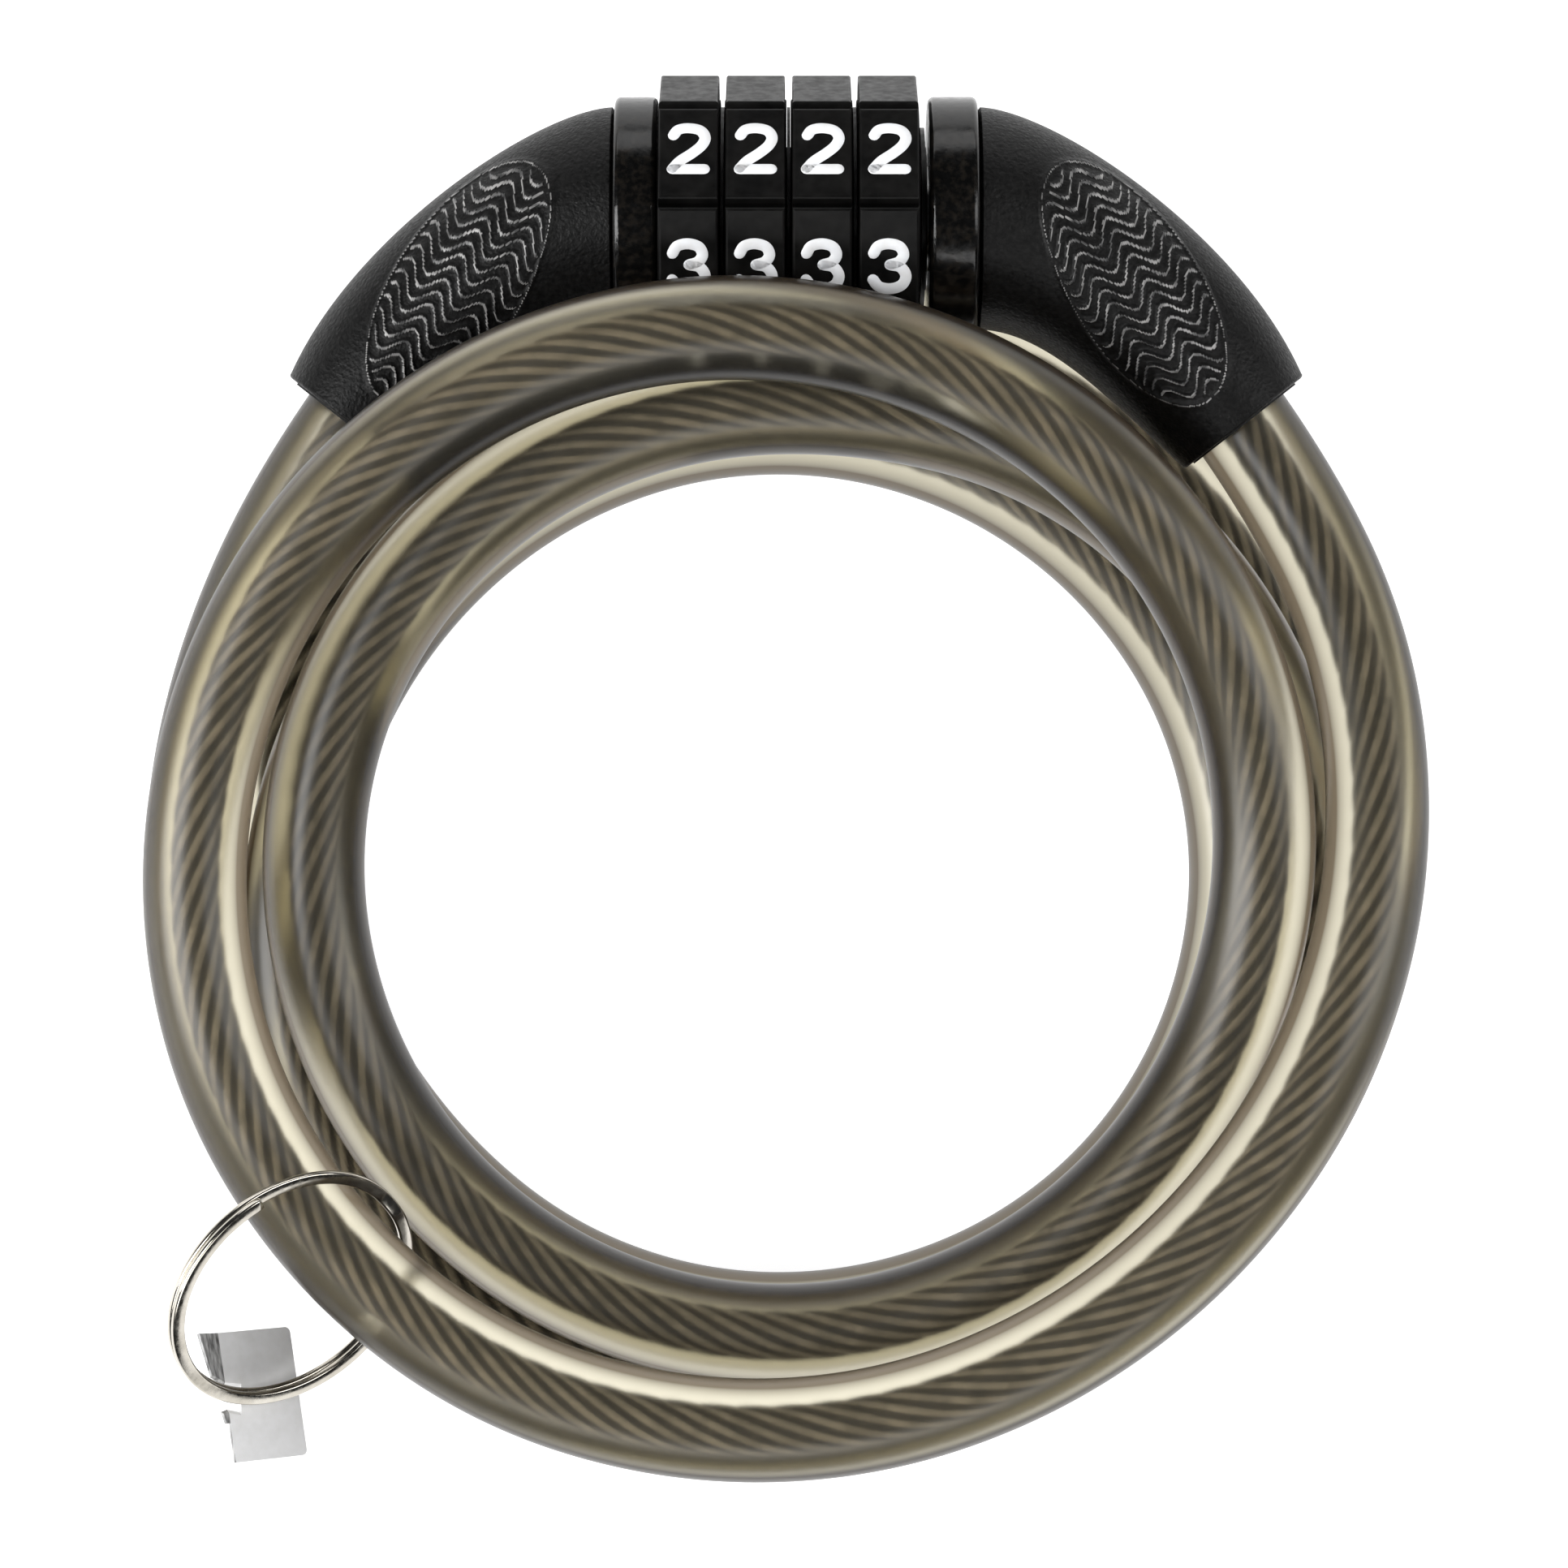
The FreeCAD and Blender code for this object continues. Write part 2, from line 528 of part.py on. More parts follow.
# ---------------------------------------------------------------- build
def main():
    os.makedirs("parts", exist_ok=True)
    for index in range(DIAL_COUNT):
        save(in_head(dial(index)), f"dial_{index + 1}")
        save(in_head(code_ring(index)), f"code_ring_{index + 1}")
    save(in_head(dial_washers()), "dial_washers")
    save(in_head(lock_cylinder().cut(mirrored(cross_pin(0.01)))), "lock_cylinder")
    save(in_head(detent_spring()), "detent_spring")
    save(in_head(retaining_ring()), "retaining_ring")
    save(in_head(reset_collar()), "reset_collar")
    save(in_head(reset_spring()), "reset_spring")
    save(in_head(plug_pin()), "plug_pin")
    save(in_head(plug_collar()), "plug_collar")
    ends = {"sleeve": sleeve, "anchor": anchor, "ferrule": ferrule, "cross_pin": cross_pin,
            "rope_end": rope_end, "grommet": grommet}
    for name, make in ends.items():
        shape = make()
        save(in_head(shape), f"plug_{name}")
        save(in_head(mirrored(shape)), f"fixed_{name}")
    make_cable()
    save(to_ring(split_ring()), "split_ring")
    save(tag(), "tag")


main()
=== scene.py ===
"""The looks of a combination cable lock: a coiled steel rope in a see-through
jacket, with both ends held in a four-dial locking head. Sizes are in
millimetres here and become metres where a mesh is made. The frame is the
CAD model's: the coil's axis is +Z, and the dials turn about +X."""

import json
import math

import bpy
from mathutils import Matrix, Vector


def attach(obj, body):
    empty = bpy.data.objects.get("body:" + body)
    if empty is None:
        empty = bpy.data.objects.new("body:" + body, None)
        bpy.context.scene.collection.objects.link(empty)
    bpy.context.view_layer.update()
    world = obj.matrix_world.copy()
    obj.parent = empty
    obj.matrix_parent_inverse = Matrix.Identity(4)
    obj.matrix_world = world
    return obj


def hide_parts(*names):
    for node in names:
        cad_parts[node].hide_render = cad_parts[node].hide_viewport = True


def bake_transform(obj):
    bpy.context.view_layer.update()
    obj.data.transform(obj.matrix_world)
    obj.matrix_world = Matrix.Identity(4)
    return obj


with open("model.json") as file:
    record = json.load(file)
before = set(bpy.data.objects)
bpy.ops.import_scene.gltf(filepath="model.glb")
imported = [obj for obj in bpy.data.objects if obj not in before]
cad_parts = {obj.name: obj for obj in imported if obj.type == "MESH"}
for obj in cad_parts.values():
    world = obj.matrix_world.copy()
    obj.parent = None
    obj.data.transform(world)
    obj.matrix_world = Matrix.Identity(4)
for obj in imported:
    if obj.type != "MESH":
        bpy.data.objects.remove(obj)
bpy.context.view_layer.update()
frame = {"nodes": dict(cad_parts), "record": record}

MM = 0.001
Z = Vector((0, 0, 1))

# ------------------------------------------------------------------ sizes
CABLE_R = 5.0
JACKET_SIDES = 40
ROPE_R = 1.7
ROPE_STRANDS = 8           # in the rope's outer layer
ROPE_LAY = 29.5            # length in which a strand goes once round the rope
STRAND_SWINGS = (-78, -40, -20, 0, 20, 40, 78)   # points round a strand, in degrees
LEAD_CUT = 180             # turn of the coil where the lead ends

HEAD = Vector((1.9, 64.4, 22.6))
DIAL_COUNT, DIAL_PITCH, DIAL_MIDDLE = 4, 6.45, -0.75
DIAL_FACES = 8
FACE_HEIGHT = 13.20        # a number face, from the dial axis
DIGIT_STROKE, DIGIT_RISE, DIGIT_EDGE = 1.1, 0.07, 0.07

EXIT_X, EXIT_Y, EXIT_TURN = 43.9, -19.85, 52
CABLE_IN, CABLE_OUT = 8.0, 6.0

# The sleeve's outer and inner edges from above, and its half height, each as
# one smooth curve steered by four values, from the collar to the mouth.
SLEEVE_OUTER_X, SLEEVE_OUTER_Y = (17.8, 24.9, 43.5, 49.73), (10.9, 10.9, -1.3, -15.29)
SLEEVE_INNER_X, SLEEVE_INNER_Y = (17.8, 24.4, 30.6, 38.07), (-10.9, -10.9, -17.5, -24.41)
SLEEVE_HEIGHTS = (10.8, 9.9, 8.8, 7.3)
SLEEVE_STEPS, SLEEVE_SIDES = 240, 380
SLEEVE_BORE_R, SLEEVE_BORE_DEPTH = 7.3, 0.05
COLLAR_END = ((0.955, 0.0), (0.978, 0.06), (0.994, 0.24))   # scale and depth of rings
COLLAR_END_SHARE = 0.012   # where the rounded collar end is over
MOUTH_END = ((1.0, 0.12), (0.985, 0.26), (0.95, 0.33))      # scale and reach of rings
MOUTH_R, MOUTH_EDGE, MOUTH_DEPTH = 6.33, 0.25, 2.4
CREST_SHARE = 0.62         # the top of a rib, painted lighter as a highlight

GRIP_MIDDLE = (32.7, -7.0)  # patch of wavy ribs, on the sleeve's upper side
GRIP_HALF_LENGTH, GRIP_HALF_WIDTH, GRIP_TURN = 13.6, 6.2, -57
RIB_PITCH, RIB_WAVE, RIB_SWING, RIB_RISE = 1.42, 4.1, 0.95, 0.26
RIB_SHARPNESS, RIB_FADE = 3.0, 14        # fade: ribs are full from 1/14 inside the rim
RIM_WIDTH, RIM_OUTSIDE, RIM_INSIDE = 0.16, 0.6, 0.7   # heights as shares of a rib's

RING_AT, RING_R, RING_WIRE, RING_TURN = 229.5, 12.45, 1.3, 0.68
RING_OFFSET, RING_RISE, RING_LEAN, RING_HEADING = 5.7, 0.6, 46.5, 48.0
RING_END, RING_STEP_AT, RING_STEP, RING_LOWER = 65.0, 340.0, 18.0, 328.0
RING_CORNER, RING_GAP, RING_STEPS = 0.24, 0.02, 420   # gap: from a turn to the ring's plane
TAG_AT, TAG_SLOPE = 200.0, 44.0

# The cable's way round the coil: degrees from +Y towards +X, radius, height.
STATIONS = [
    (46, 63.3, 22.6), (60, 61.7, 24.6), (75, 60.1, 27.9), (90, 57.9, 31.4),
    (105, 56.1, 34.1), (120, 54.4, 35.2), (150, 53.1, 34.8), (180, 53.5, 33.8),
    (200, 54.6, 33.3), (225, 55.7, 33.1), (255, 56.4, 33.2), (270, 56.2, 33.5),
    (315, 55.0, 35.8), (345, 53.3, 37.8), (360, 52.2, 38.0), (390, 50.4, 36.8),
    (420, 48.8, 33.6), (450, 47.2, 30.5), (480, 46.0, 28.2), (510, 45.5, 26.1),
    (540, 45.4, 24.6), (570, 45.2, 24.0), (600, 45.2, 24.2), (630, 45.4, 25.7),
    (660, 45.6, 27.0), (700, 45.6, 28.9), (720, 45.6, 28.8), (750, 48.2, 25.7),
    (780, 51.0, 21.8), (810, 52.3, 18.2), (840, 52.8, 15.9), (900, 52.8, 15.0),
    (960, 51.0, 15.4), (990, 48.1, 15.4), (1010, 46.5, 13.6), (1035, 45.5, 9.6),
    (1060, 45.2, 6.0), (1080, 45.2, 5.0), (1110, 45.5, 5.0), (1170, 47.0, 5.0),
    (1200, 46.9, 5.0), (1260, 46.0, 5.0), (1314, 46.2, 5.0), (1335, 48.0, 5.0),
    (1350, 50.0, 5.0), (1380, 53.7, 5.0), (1410, 55.6, 5.0), (1440, 56.0, 5.0),
    (1490, 56.7, 5.0), (1530, 57.4, 5.0), (1620, 56.4, 5.0), (1650, 57.1, 5.0),
    (1680, 58.5, 6.2), (1695, 58.6, 9.2), (1710, 58.3, 13.4), (1730, 58.0, 18.6),
    (1745, 58.9, 21.6), (1757, 60.4, 22.6),
]
COIL_FIRST, COIL_LAST, COIL_STEP = 70, 1730, 20
CORNER_REACH = 1.0147


# ------------------------------------------------------------------ helpers
def piece(name, points, faces, material, smooth=True):
    """A mesh object from points in millimetres."""
    mesh = bpy.data.meshes.new(name)
    mesh.from_pydata([tuple(Vector(p) * MM) for p in points], [], faces)
    mesh.polygons.foreach_set("use_smooth", [smooth] * len(faces))
    mesh.materials.append(material)
    mesh.update()
    obj = bpy.data.objects.new(name, mesh)
    bpy.context.collection.objects.link(obj)
    return obj


def skin(rings, closed=False, around=True):
    """Faces between rings of equally many points; around joins each ring up."""
    count = len(rings[0])
    points = [p for ring in rings for p in ring]
    faces = []
    for i in range(len(rings) if closed else len(rings) - 1):
        a, b = i * count, (i + 1) % len(rings) * count
        for j in range(count if around else count - 1):
            k = (j + 1) % count
            faces.append((a + j, a + k, b + k, b + j))
    return points, faces


def smooth_curve(values, share):
    """A point on the cubic curve steered by four values."""
    a, b, c, d = values
    rest = 1 - share
    return a * rest ** 3 + 3 * b * rest ** 2 * share + 3 * c * rest * share ** 2 + d * share ** 3


# ------------------------------------------------------------------ places
def slope(index, column):
    """Slope of radius or height at a station, level at a high or low point."""
    if index in (0, len(STATIONS) - 1):
        return 0.0
    before, here, after = STATIONS[index - 1:index + 2]
    first = (here[column] - before[column]) / (here[0] - before[0])
    second = (after[column] - here[column]) / (after[0] - here[0])
    return 0.0 if first * second <= 0 else 2 * first * second / (first + second)


def on_route(turn, column):
    """Radius (column 1) or height (column 2) of the cable at a turn angle."""
    index = max(i for i in range(len(STATIONS) - 1) if STATIONS[i][0] <= turn)
    low, high = STATIONS[index], STATIONS[index + 1]
    span = high[0] - low[0]
    t = (turn - low[0]) / span
    return ((2 * t ** 3 - 3 * t ** 2 + 1) * low[column] + (3 * t ** 2 - 2 * t ** 3) * high[column]
            + (t ** 3 - 2 * t ** 2 + t) * slope(index, column) * span
            + (t ** 3 - t ** 2) * slope(index + 1, column) * span)


def exit_point(side, distance):
    """A point on the cable's straight end; side is 1 at the plug, -1 at the other."""
    turn = math.radians(EXIT_TURN)
    x = EXIT_X + math.cos(turn) * distance
    y = EXIT_Y - math.sin(turn) * distance
    return HEAD + Vector((side * x, y, 0))


def on_coil(turn, radius, height):
    angle = math.radians(turn)
    return Vector((radius * math.sin(angle), radius * math.cos(angle), height))


def route_points():
    coil = [on_coil(turn, on_route(turn, 1) * CORNER_REACH, on_route(turn, 2))
            for turn in range(COIL_FIRST, COIL_LAST + 1, COIL_STEP)]
    return ([exit_point(1, -CABLE_IN), exit_point(1, CABLE_OUT)] + coil
            + [exit_point(-1, CABLE_OUT), exit_point(-1, -CABLE_IN)])


def ring_place():
    radius = on_route(RING_AT, 1) + RING_OFFSET
    return (Matrix.Translation(on_coil(RING_AT, radius, on_route(RING_AT, 2) + RING_RISE))
            @ Matrix.Rotation(math.radians(RING_HEADING), 4, "Z")
            @ Matrix.Rotation(math.radians(RING_LEAN), 4, "X"))


def tag_fold():
    """The direction across the tag, and how far along it the tag's fold lies."""
    slope_ = math.radians(TAG_SLOPE)
    across = Vector((math.cos(slope_), 0, -math.sin(slope_)))
    turn = math.radians(TAG_AT)
    wire = ring_place() @ Vector((RING_R * math.cos(turn), RING_R * math.sin(turn), 0))
    return across, wire.dot(across)


# ------------------------------------------------------------------ materials
UNDER_SHARE = 0.50          # in the jacket's painted shade, how much a face that looks down counts as one that looks up


class Paint:
    """A Principled material with a few calls for its patterns."""

    def __init__(self, name, **values):
        self.material = bpy.data.materials.new(name)
        self.material.use_nodes = True
        self.tree = self.material.node_tree
        self.shader = self.tree.nodes["Principled BSDF"]
        for key, value in values.items():
            self.shader.inputs[key.replace("_", " ")].default_value = value
        self.texture = self.tree.nodes.new("ShaderNodeTexCoord")
        self.place = self.texture.outputs["Object"]
        self.height = None

    def stretched(self, x, y, z):
        node = self.tree.nodes.new("ShaderNodeMapping")
        node.inputs["Scale"].default_value = (x, y, z)
        self.tree.links.new(self.place, node.inputs["Vector"])
        return node.outputs["Vector"]

    def noise(self, size_mm, detail=3.0, place=None):
        """Cloudy noise whose features are about this large."""
        node = self.tree.nodes.new("ShaderNodeTexNoise")
        node.inputs["Scale"].default_value = 1 / (size_mm * MM)
        node.inputs["Detail"].default_value = detail
        self.tree.links.new(place or self.place, node.inputs["Vector"])
        return node.outputs["Fac"]

    def shade_by_facing(self):
        """How much a face looks up or, for less, down: 1 on the crest, 0 on a flank; it steers
        painted shade.
        """
        parts = self.tree.nodes.new("ShaderNodeSeparateXYZ")
        self.tree.links.new(self.texture.outputs["Normal"], parts.inputs["Vector"])
        under = self.tree.nodes.new("ShaderNodeMath")
        under.operation = "MULTIPLY"
        under.inputs[1].default_value = -UNDER_SHARE
        self.tree.links.new(parts.outputs["Z"], under.inputs[0])
        larger = self.tree.nodes.new("ShaderNodeMath")
        larger.operation = "MAXIMUM"
        self.tree.links.new(parts.outputs["Z"], larger.inputs[0])
        self.tree.links.new(under.outputs[0], larger.inputs[1])
        return larger.outputs[0]

    def cells(self, size_mm):
        node = self.tree.nodes.new("ShaderNodeTexVoronoi")
        node.inputs["Scale"].default_value = 1 / (size_mm * MM)
        self.tree.links.new(self.place, node.inputs["Vector"])
        return node.outputs["Distance"]

    def blend(self, value, low, high, start=0.3, end=0.7):
        """Colours or numbers spread over a pattern's values."""
        node = self.tree.nodes.new("ShaderNodeValToRGB")
        for element, at, colour in zip(node.color_ramp.elements, (start, end), (low, high)):
            element.position = at
            element.color = colour if len(colour) == 4 else (*colour, 1)
        self.tree.links.new(value, node.inputs["Fac"])
        return node.outputs["Color"]

    def split(self, colour, other, way, edge_mm):
        """One colour up to a plane square to a direction, and another past it."""
        along = self.tree.nodes.new("ShaderNodeVectorMath")
        along.operation = "DOT_PRODUCT"
        along.inputs[1].default_value = way
        self.tree.links.new(self.place, along.inputs[0])
        past = self.tree.nodes.new("ShaderNodeMath")
        past.operation = "GREATER_THAN"
        past.inputs[1].default_value = edge_mm * MM
        self.tree.links.new(along.outputs["Value"], past.inputs[0])
        mix = self.tree.nodes.new("ShaderNodeMix")
        mix.data_type = "RGBA"
        for source, socket in ((past.outputs[0], 0), (colour, 6), (other, 7)):
            self.tree.links.new(source, mix.inputs[socket])
        self.tree.links.new(mix.outputs[2], self.shader.inputs["Base Color"])

    def colour(self, value, low, high, start=0.3, end=0.7):
        ramp = self.blend(value, low, high, start, end)
        self.tree.links.new(ramp, self.shader.inputs["Base Color"])
        return self

    def roughness(self, value, low, high, start=0.3, end=0.7):
        ramp = self.blend(value, (low,) * 3, (high,) * 3, start, end)
        self.tree.links.new(ramp, self.shader.inputs["Roughness"])
        return self

    def bump(self, value, height_mm, strength=1.0):
        node = self.tree.nodes.new("ShaderNodeBump")
        node.inputs["Distance"].default_value = height_mm * MM
        node.inputs["Strength"].default_value = strength
        self.tree.links.new(value, node.inputs["Height"])
        if self.height:
            self.tree.links.new(self.height, node.inputs["Normal"])
        self.height = node.outputs["Normal"]
        self.tree.links.new(self.height, self.shader.inputs["Normal"])
        return self


def grey(value, warm=0.0):
    return (value * (1 + warm), value, value * (1 - warm))


def make_materials():
    """One material for each slot of the record, and a few more."""
    made = {}
    p = Paint("dial_plastic", Specular_IOR_Level=0.12)
    p.colour(p.noise(2.5), grey(0.002), grey(0.006, 0.05))
    p.roughness(p.noise(0.9), 0.28, 0.44)
    made["dial_plastic"] = p.bump(p.noise(0.22, 2), 0.006, 0.6)
    p = Paint("digit_paint")
    p.colour(p.noise(1.4), grey(0.80), (0.88, 0.90, 0.93))
    p.roughness(p.noise(0.5), 0.35, 0.55)
    made["digit_paint"] = p.bump(p.noise(0.3), 0.008, 0.5)
    p = Paint("collar_gloss", Specular_IOR_Level=0.35)
    p.colour(p.noise(0.8, 4), grey(0.002), grey(0.009, 0.2), 0.45, 0.7)
    p.roughness(p.noise(0.7), 0.14, 0.26)
    made["collar_gloss"] = p.bump(p.noise(0.8, 4), 0.03, 0.6)
    p = Paint("sleeve_plastic", Specular_IOR_Level=0.17)
    p.colour(p.noise(0.5, 5), grey(0.002), grey(0.007, 0.02), 0.4, 0.7)
    p.roughness(p.noise(0.35), 0.36, 0.55)
    p.bump(p.noise(0.42, 4), 0.10, 0.9)
    made["sleeve_plastic"] = p.bump(p.cells(0.34), 0.04, 0.6)
    # Painted highlight: faces on the rib crests are painted light grey in place of the glints
    # along them.
    p = Paint("rib_crest_highlight")
    p.colour(p.noise(1.5, 4), grey(0.04), grey(0.34, 0.02), 0.38, 0.66)
    p.roughness(p.noise(0.3), 0.25, 0.4)
    made["rib_crest_highlight"] = p.bump(p.noise(0.3), 0.01)
    p = Paint("cable_jacket", Transmission_Weight=0.98, Roughness=0.31, IOR=1.42)
    # Partly the jacket's own smoky tint and partly painted shade: the flanks, which turn away
    # from above, are painted dark brown and the crest light.
    p.colour(p.shade_by_facing(), (0.046, 0.032, 0.019), (0.86, 0.81, 0.64), 0.51, 0.88)
    made["cable_jacket"] = p.bump(p.noise(4.5, 2), 0.05, 0.35)
    p = Paint("rope_steel", Metallic=0.1)
    p.colour(p.noise(2.6, 2), (0.60, 0.59, 0.52), (0.99, 0.98, 0.89), 0.36, 0.62)
    p.roughness(p.noise(0.7), 0.45, 0.65)
    made["rope_steel"] = p.bump(p.noise(0.5, 2), 0.03, 0.6)
    # Painted shade: the faces in the gaps between the rope's strands are painted dark.
    p = Paint("rope_gap_shade", Metallic=0.3)
    p.colour(p.noise(1.2, 3), (0.07, 0.07, 0.057), (0.17, 0.165, 0.135))
    p.roughness(p.noise(0.5), 0.5, 0.7)
    made["rope_gap_shade"] = p.bump(p.noise(0.35, 3), 0.03)
    p = Paint("ring_nickel", Metallic=1.0)
    p.colour(p.noise(4), (0.46, 0.43, 0.37), (0.62, 0.59, 0.53))
    p.roughness(p.noise(0.6), 0.08, 0.2)
    made["ring_nickel"] = p.bump(p.noise(0.5, 4), 0.006, 0.5)
    p = Paint("tag_card")
    panel = p.blend(p.noise(1.1, 6), grey(0.88), (0.95, 0.95, 0.96))
    flap = p.blend(p.noise(0.35, 4, p.stretched(1, 0.12, 1)), grey(0.06), grey(0.62))
    p.split(flap, panel, *tag_fold())
    p.roughness(p.noise(0.4), 0.35, 0.55)
    made["tag_card"] = p.bump(p.noise(0.25, 5), 0.012, 0.6)
    p = Paint("code_ring_zinc", Metallic=1.0)
    p.colour(p.noise(1.5, 5), grey(0.40), grey(0.52, 0.02))
    p.roughness(p.noise(0.5), 0.4, 0.6)
    made["code_ring_zinc"] = p.bump(p.noise(0.3, 4), 0.015)
    p = Paint("core_steel", Metallic=1.0)
    p.colour(p.noise(2.5), grey(0.50), grey(0.62))
    p.roughness(p.noise(0.15, 2, p.stretched(1, 0.03, 0.03)), 0.22, 0.4)
    made["core_steel"] = p.bump(p.noise(0.1, 2, p.stretched(1, 0.03, 0.03)), 0.004)
    p = Paint("black_steel", Metallic=0.4)
    p.colour(p.noise(1.5), grey(0.008), grey(0.016, 0.04))
    p.roughness(p.noise(0.5), 0.35, 0.5)
    made["black_steel"] = p.bump(p.noise(0.3), 0.006)
    p = Paint("spring_steel", Metallic=1.0)
    p.colour(p.noise(1.0), grey(0.30), grey(0.42, -0.03))
    p.roughness(p.noise(0.4), 0.25, 0.4)
    made["spring_steel"] = p.bump(p.noise(0.2), 0.004)
    p = Paint("ferrule_aluminium", Metallic=1.0)
    p.colour(p.noise(1.2), grey(0.66), grey(0.78))
    p.roughness(p.noise(0.4), 0.3, 0.5)
    made["ferrule_aluminium"] = p.bump(p.noise(0.5), 0.02)
    p = Paint("washer_plastic", IOR=1.5)
    p.colour(p.noise(1.2), grey(0.02), grey(0.035))
    p.roughness(p.noise(0.5), 0.4, 0.6)
    made["washer_plastic"] = p.bump(p.noise(0.2), 0.005)
    p = Paint("grommet_rubber", Specular_IOR_Level=0.35)
    p.colour(p.noise(0.8), grey(0.01), grey(0.022))
    p.roughness(p.noise(0.5), 0.6, 0.8)
    made["grommet_rubber"] = p.bump(p.noise(0.3), 0.02)
    p = Paint("floor", Emission_Color=(1, 1, 1, 1), Emission_Strength=0.94)
    p.colour(p.noise(90, 2), grey(0.39), grey(0.41))
    p.roughness(p.noise(5), 0.5, 0.6)
    made["floor"] = p.bump(p.noise(3), 0.01, 0.2)
    return {name: paint.material for name, paint in made.items()}


paints = make_materials()
for entry in frame["record"]["subparts"]:
    data = frame["nodes"][entry["node"]].data
    data.materials.clear()
    data.materials.append(paints[entry["material_slot"]])


# ------------------------------------------------------------------ camera
CAMERA_PLACE, CAMERA_LENS = (0.0007, 0.0087, 0.550), 122.9


def make_camera():
    """Straight above the lock, looking down."""
    data = bpy.data.cameras.new("camera")
    data.sensor_width, data.lens = 36.0, CAMERA_LENS
    data.clip_start, data.clip_end = 0.01, 10
    camera = bpy.data.objects.new("camera", data)
    camera.location = CAMERA_PLACE
    bpy.context.collection.objects.link(camera)
    bpy.context.scene.camera = camera


make_camera()


# ------------------------------------------------------------------ the cable
def read_route(points):
    """Closely spaced points along the smooth curve steered by the route's points."""
    data = bpy.data.curves.new("route", "CURVE")
    data.dimensions, data.resolution_u = "3D", 22
    spline = data.splines.new("NURBS")
    spline.points.add(len(points) - 1)
    for point, place in zip(spline.points, points):
        point.co = (*(place * MM), 1)
    spline.order_u = 3
    spline.use_endpoint_u = True
    guide = bpy.data.objects.new("route", data)
    bpy.context.collection.objects.link(guide)
    bpy.context.view_layer.update()
    mesh = bpy.data.meshes.new_from_object(guide)
    path = [v.co / MM for v in mesh.vertices]
    bpy.data.meshes.remove(mesh)
    bpy.data.objects.remove(guide)
    bpy.data.curves.remove(data)
    return path


def stations_along(path):
    """For each point its place, two directions square to the path that don't
    wind round it, and the length of the path so far."""
    frames, run = [], 0.0
    side = Z
    for i, place in enumerate(path):
        way = (path[min(i + 1, len(path) - 1)] - path[max(i - 1, 0)]).normalized()
        side = (side - way * side.dot(way)).normalized()
        run += (place - path[i - 1]).length if i else 0.0
        frames.append((place, side, way.cross(side), run))
    return frames


def tube(frames, radius, sides):
    turns = [2 * math.pi * k / sides for k in range(sides)]
    return skin([[place + (a * math.cos(t) + b * math.sin(t)) * radius for t in turns]
                 for place, a, b, _ in frames])


def rope_outline():
    """The rope's outline: a circle of round strands, as angle and radius."""
    half_step = math.sin(math.pi / ROPE_STRANDS)
    strand_r = ROPE_R * half_step / (1 + half_step)
    centre_r = ROPE_R - strand_r
    outline = []
    for strand in range(ROPE_STRANDS):
        for swing in STRAND_SWINGS:
            x = centre_r + strand_r * math.cos(math.radians(swing))
            y = strand_r * math.sin(math.radians(swing))
            angle = 2 * math.pi * strand / ROPE_STRANDS + math.atan2(y, x)
            outline.append((angle, math.hypot(x, y)))
    return outline


def make_rope(name, frames):
    """The twisted rope, with bright strands and painted shade in the gaps between them."""
    outline = rope_outline()
    rings = []
    for place, a, b, run in frames:
        turn = 2 * math.pi * run / ROPE_LAY
        rings.append([place + (a * math.cos(t + turn) + b * math.sin(t + turn)) * r
                      for t, r in outline])
    points, faces = skin(rings)
    obj = piece(name, points, faces, paints["rope_steel"])
    obj.data.materials.append(paints["rope_gap_shade"])
    steps = len(STRAND_SWINGS)
    # the faces in the gaps between strands take the painted shade
    gaps = [int(j % steps in (0, steps - 2, steps - 1)) for j in range(len(outline))]
    obj.data.polygons.foreach_set("material_index", gaps * (len(rings) - 1))
    return obj


def make_cable():
    """The jacket and the rope in it, each in two pieces: the lead runs out to
    the plug and is left in place, and the coil stays with the lock."""
    path = read_route(route_points())
    frames = stations_along(path)
    cut_at = on_coil(LEAD_CUT, on_route(LEAD_CUT, 1), on_route(LEAD_CUT, 2))
    cut = min(range(len(path) // 4), key=lambda i: (path[i] - cut_at).length)
    stretches = {
        "lead": (frames[:cut + 1], ["cable_lead"], exit_point(1, 0)),
        "coil": (frames[cut:], [f"cable_coil_{n}" for n in (1, 2, 3, 4)], exit_point(-1, 0)),
    }
    for name, (stretch, nodes, leaves) in stretches.items():
        points, faces = tube(stretch, CABLE_R, JACKET_SIDES)
        jacket = piece(f"{name}_jacket", points, faces, paints["cable_jacket"])
        inner = make_rope(f"{name}_rope", stretch)
        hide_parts(*nodes)
        for part in (jacket, inner):
            if name == "coil":
                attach(part, "lock")
            else:
                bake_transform(part)


make_cable()


# ------------------------------------------------------------------ the sleeves
def in_grip(x, y):
    """How far a point is inside the ribbed patch, and its place across the ribs."""
    turn = math.radians(GRIP_TURN)
    dx, dy = x - GRIP_MIDDLE[0], y - GRIP_MIDDLE[1]
    along = dx * math.cos(turn) + dy * math.sin(turn)
    across = -dx * math.sin(turn) + dy * math.cos(turn)
    depth = 1 - math.hypot(along / GRIP_HALF_LENGTH, across / GRIP_HALF_WIDTH)
    return depth, along, across


